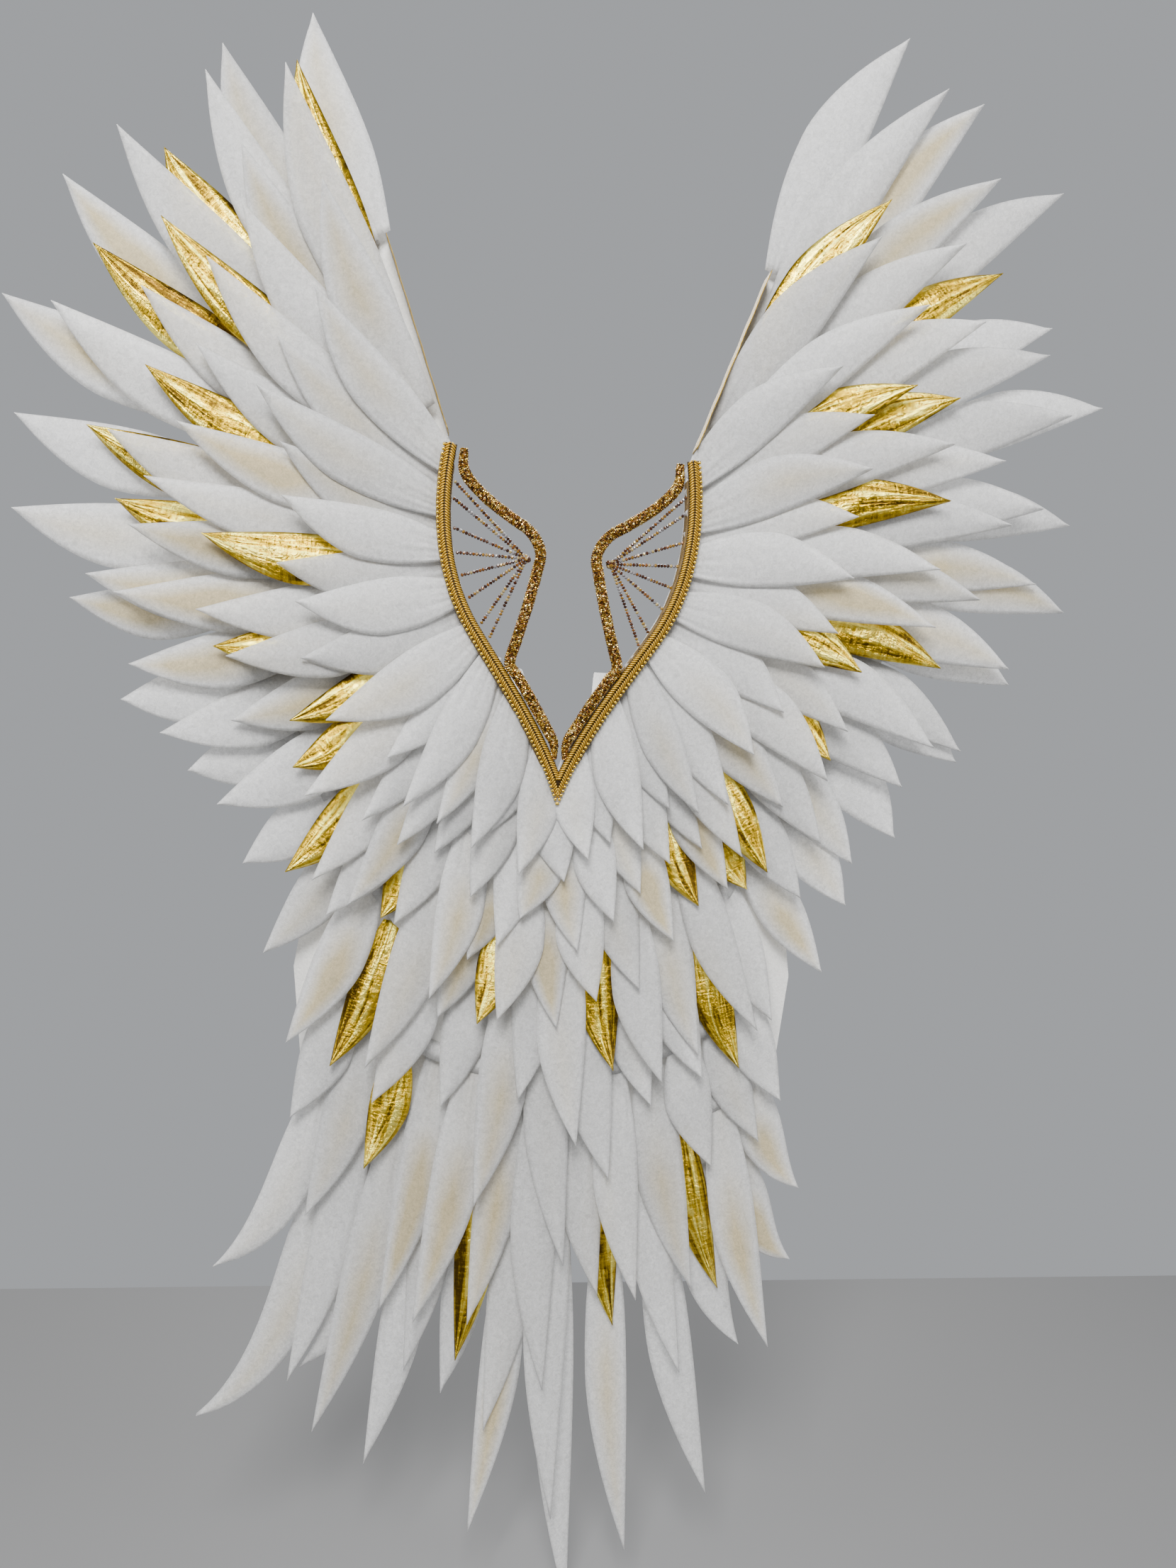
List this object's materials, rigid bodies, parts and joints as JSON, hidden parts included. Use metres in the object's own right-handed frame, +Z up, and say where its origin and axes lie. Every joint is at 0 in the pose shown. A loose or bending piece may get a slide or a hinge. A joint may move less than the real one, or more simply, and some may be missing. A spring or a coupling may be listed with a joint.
{
  "type": "angel wings",
  "caption": "Tall costume angel wings of white and gold feathers in rows round a V-shaped braid and rope trim, with fans of beads, on a back plate with shoulder straps.",
  "frame": {"origin": "middle of the back plate's face that lies against the wearer's back", "axes": "+Y towards the wearer, the way the wearer faces; +Z up; +X to the wearer's right"},
  "size_m": [1.5156, 0.3189, 2.1606],
  "materials": {
    "white_feather": "translucent nonwoven with a faint speckle",
    "gold_foil": "crinkled metallic foil",
    "gold_braid": "metallic herringbone braid",
    "bronze_rope": "rope covered with small glitter stones",
    "brown_beads": "faceted beads, brown to champagne",
    "white_strap": "woven webbing",
    "white_board": "plain board"
  },
  "bodies": {
    "root": {"back_plate": "white_board", "bead_fan_left": "brown_beads", "bead_fan_right": "brown_beads", "edge_band_left": "gold_foil", "edge_band_right": "gold_foil", "feather_row_1": "white_feather", "feather_row_2": "white_feather", "feather_row_3": "white_feather", "feather_row_4": "white_feather", "feather_row_5": "white_feather", "feather_row_6": "white_feather", "feather_row_7": "white_feather", "feather_row_8": "white_feather", "gold_feather_01": "gold_foil", "gold_feather_02": "gold_foil", "gold_feather_03": "gold_foil", "gold_feather_04": "gold_foil", "gold_feather_05": "gold_foil", "gold_feather_06": "gold_foil", "gold_feather_07": "gold_foil", "gold_feather_08": "gold_foil", "gold_feather_09": "gold_foil", "gold_feather_10": "gold_foil", "gold_feather_11": "gold_foil", "gold_feather_12": "gold_foil", "gold_feather_13": "gold_foil", "gold_feather_14": "gold_foil", "gold_feather_15": "gold_foil", "gold_feather_16": "gold_foil", "gold_feather_17": "gold_foil", "gold_feather_18": "gold_foil", "gold_feather_19": "gold_foil", "gold_feather_20": "gold_foil", "gold_feather_21": "gold_foil", "gold_feather_22": "gold_foil", "gold_feather_23": "gold_foil", "gold_feather_24": "gold_foil", "gold_feather_25": "gold_foil", "gold_feather_26": "gold_foil", "gold_feather_27": "gold_foil", "gold_feather_28": "gold_foil", "gold_feather_29": "gold_foil", "gold_feather_30": "gold_foil", "gold_feather_31": "gold_foil", "gold_feather_32": "gold_foil", "rope_left": "bronze_rope", "rope_right": "bronze_rope", "shoulder_strap_left": "white_strap", "shoulder_strap_right": "white_strap", "trim_braid": "gold_braid", "wing_board_left": "white_board", "wing_board_right": "white_board"}
  },
  "joints": []
}
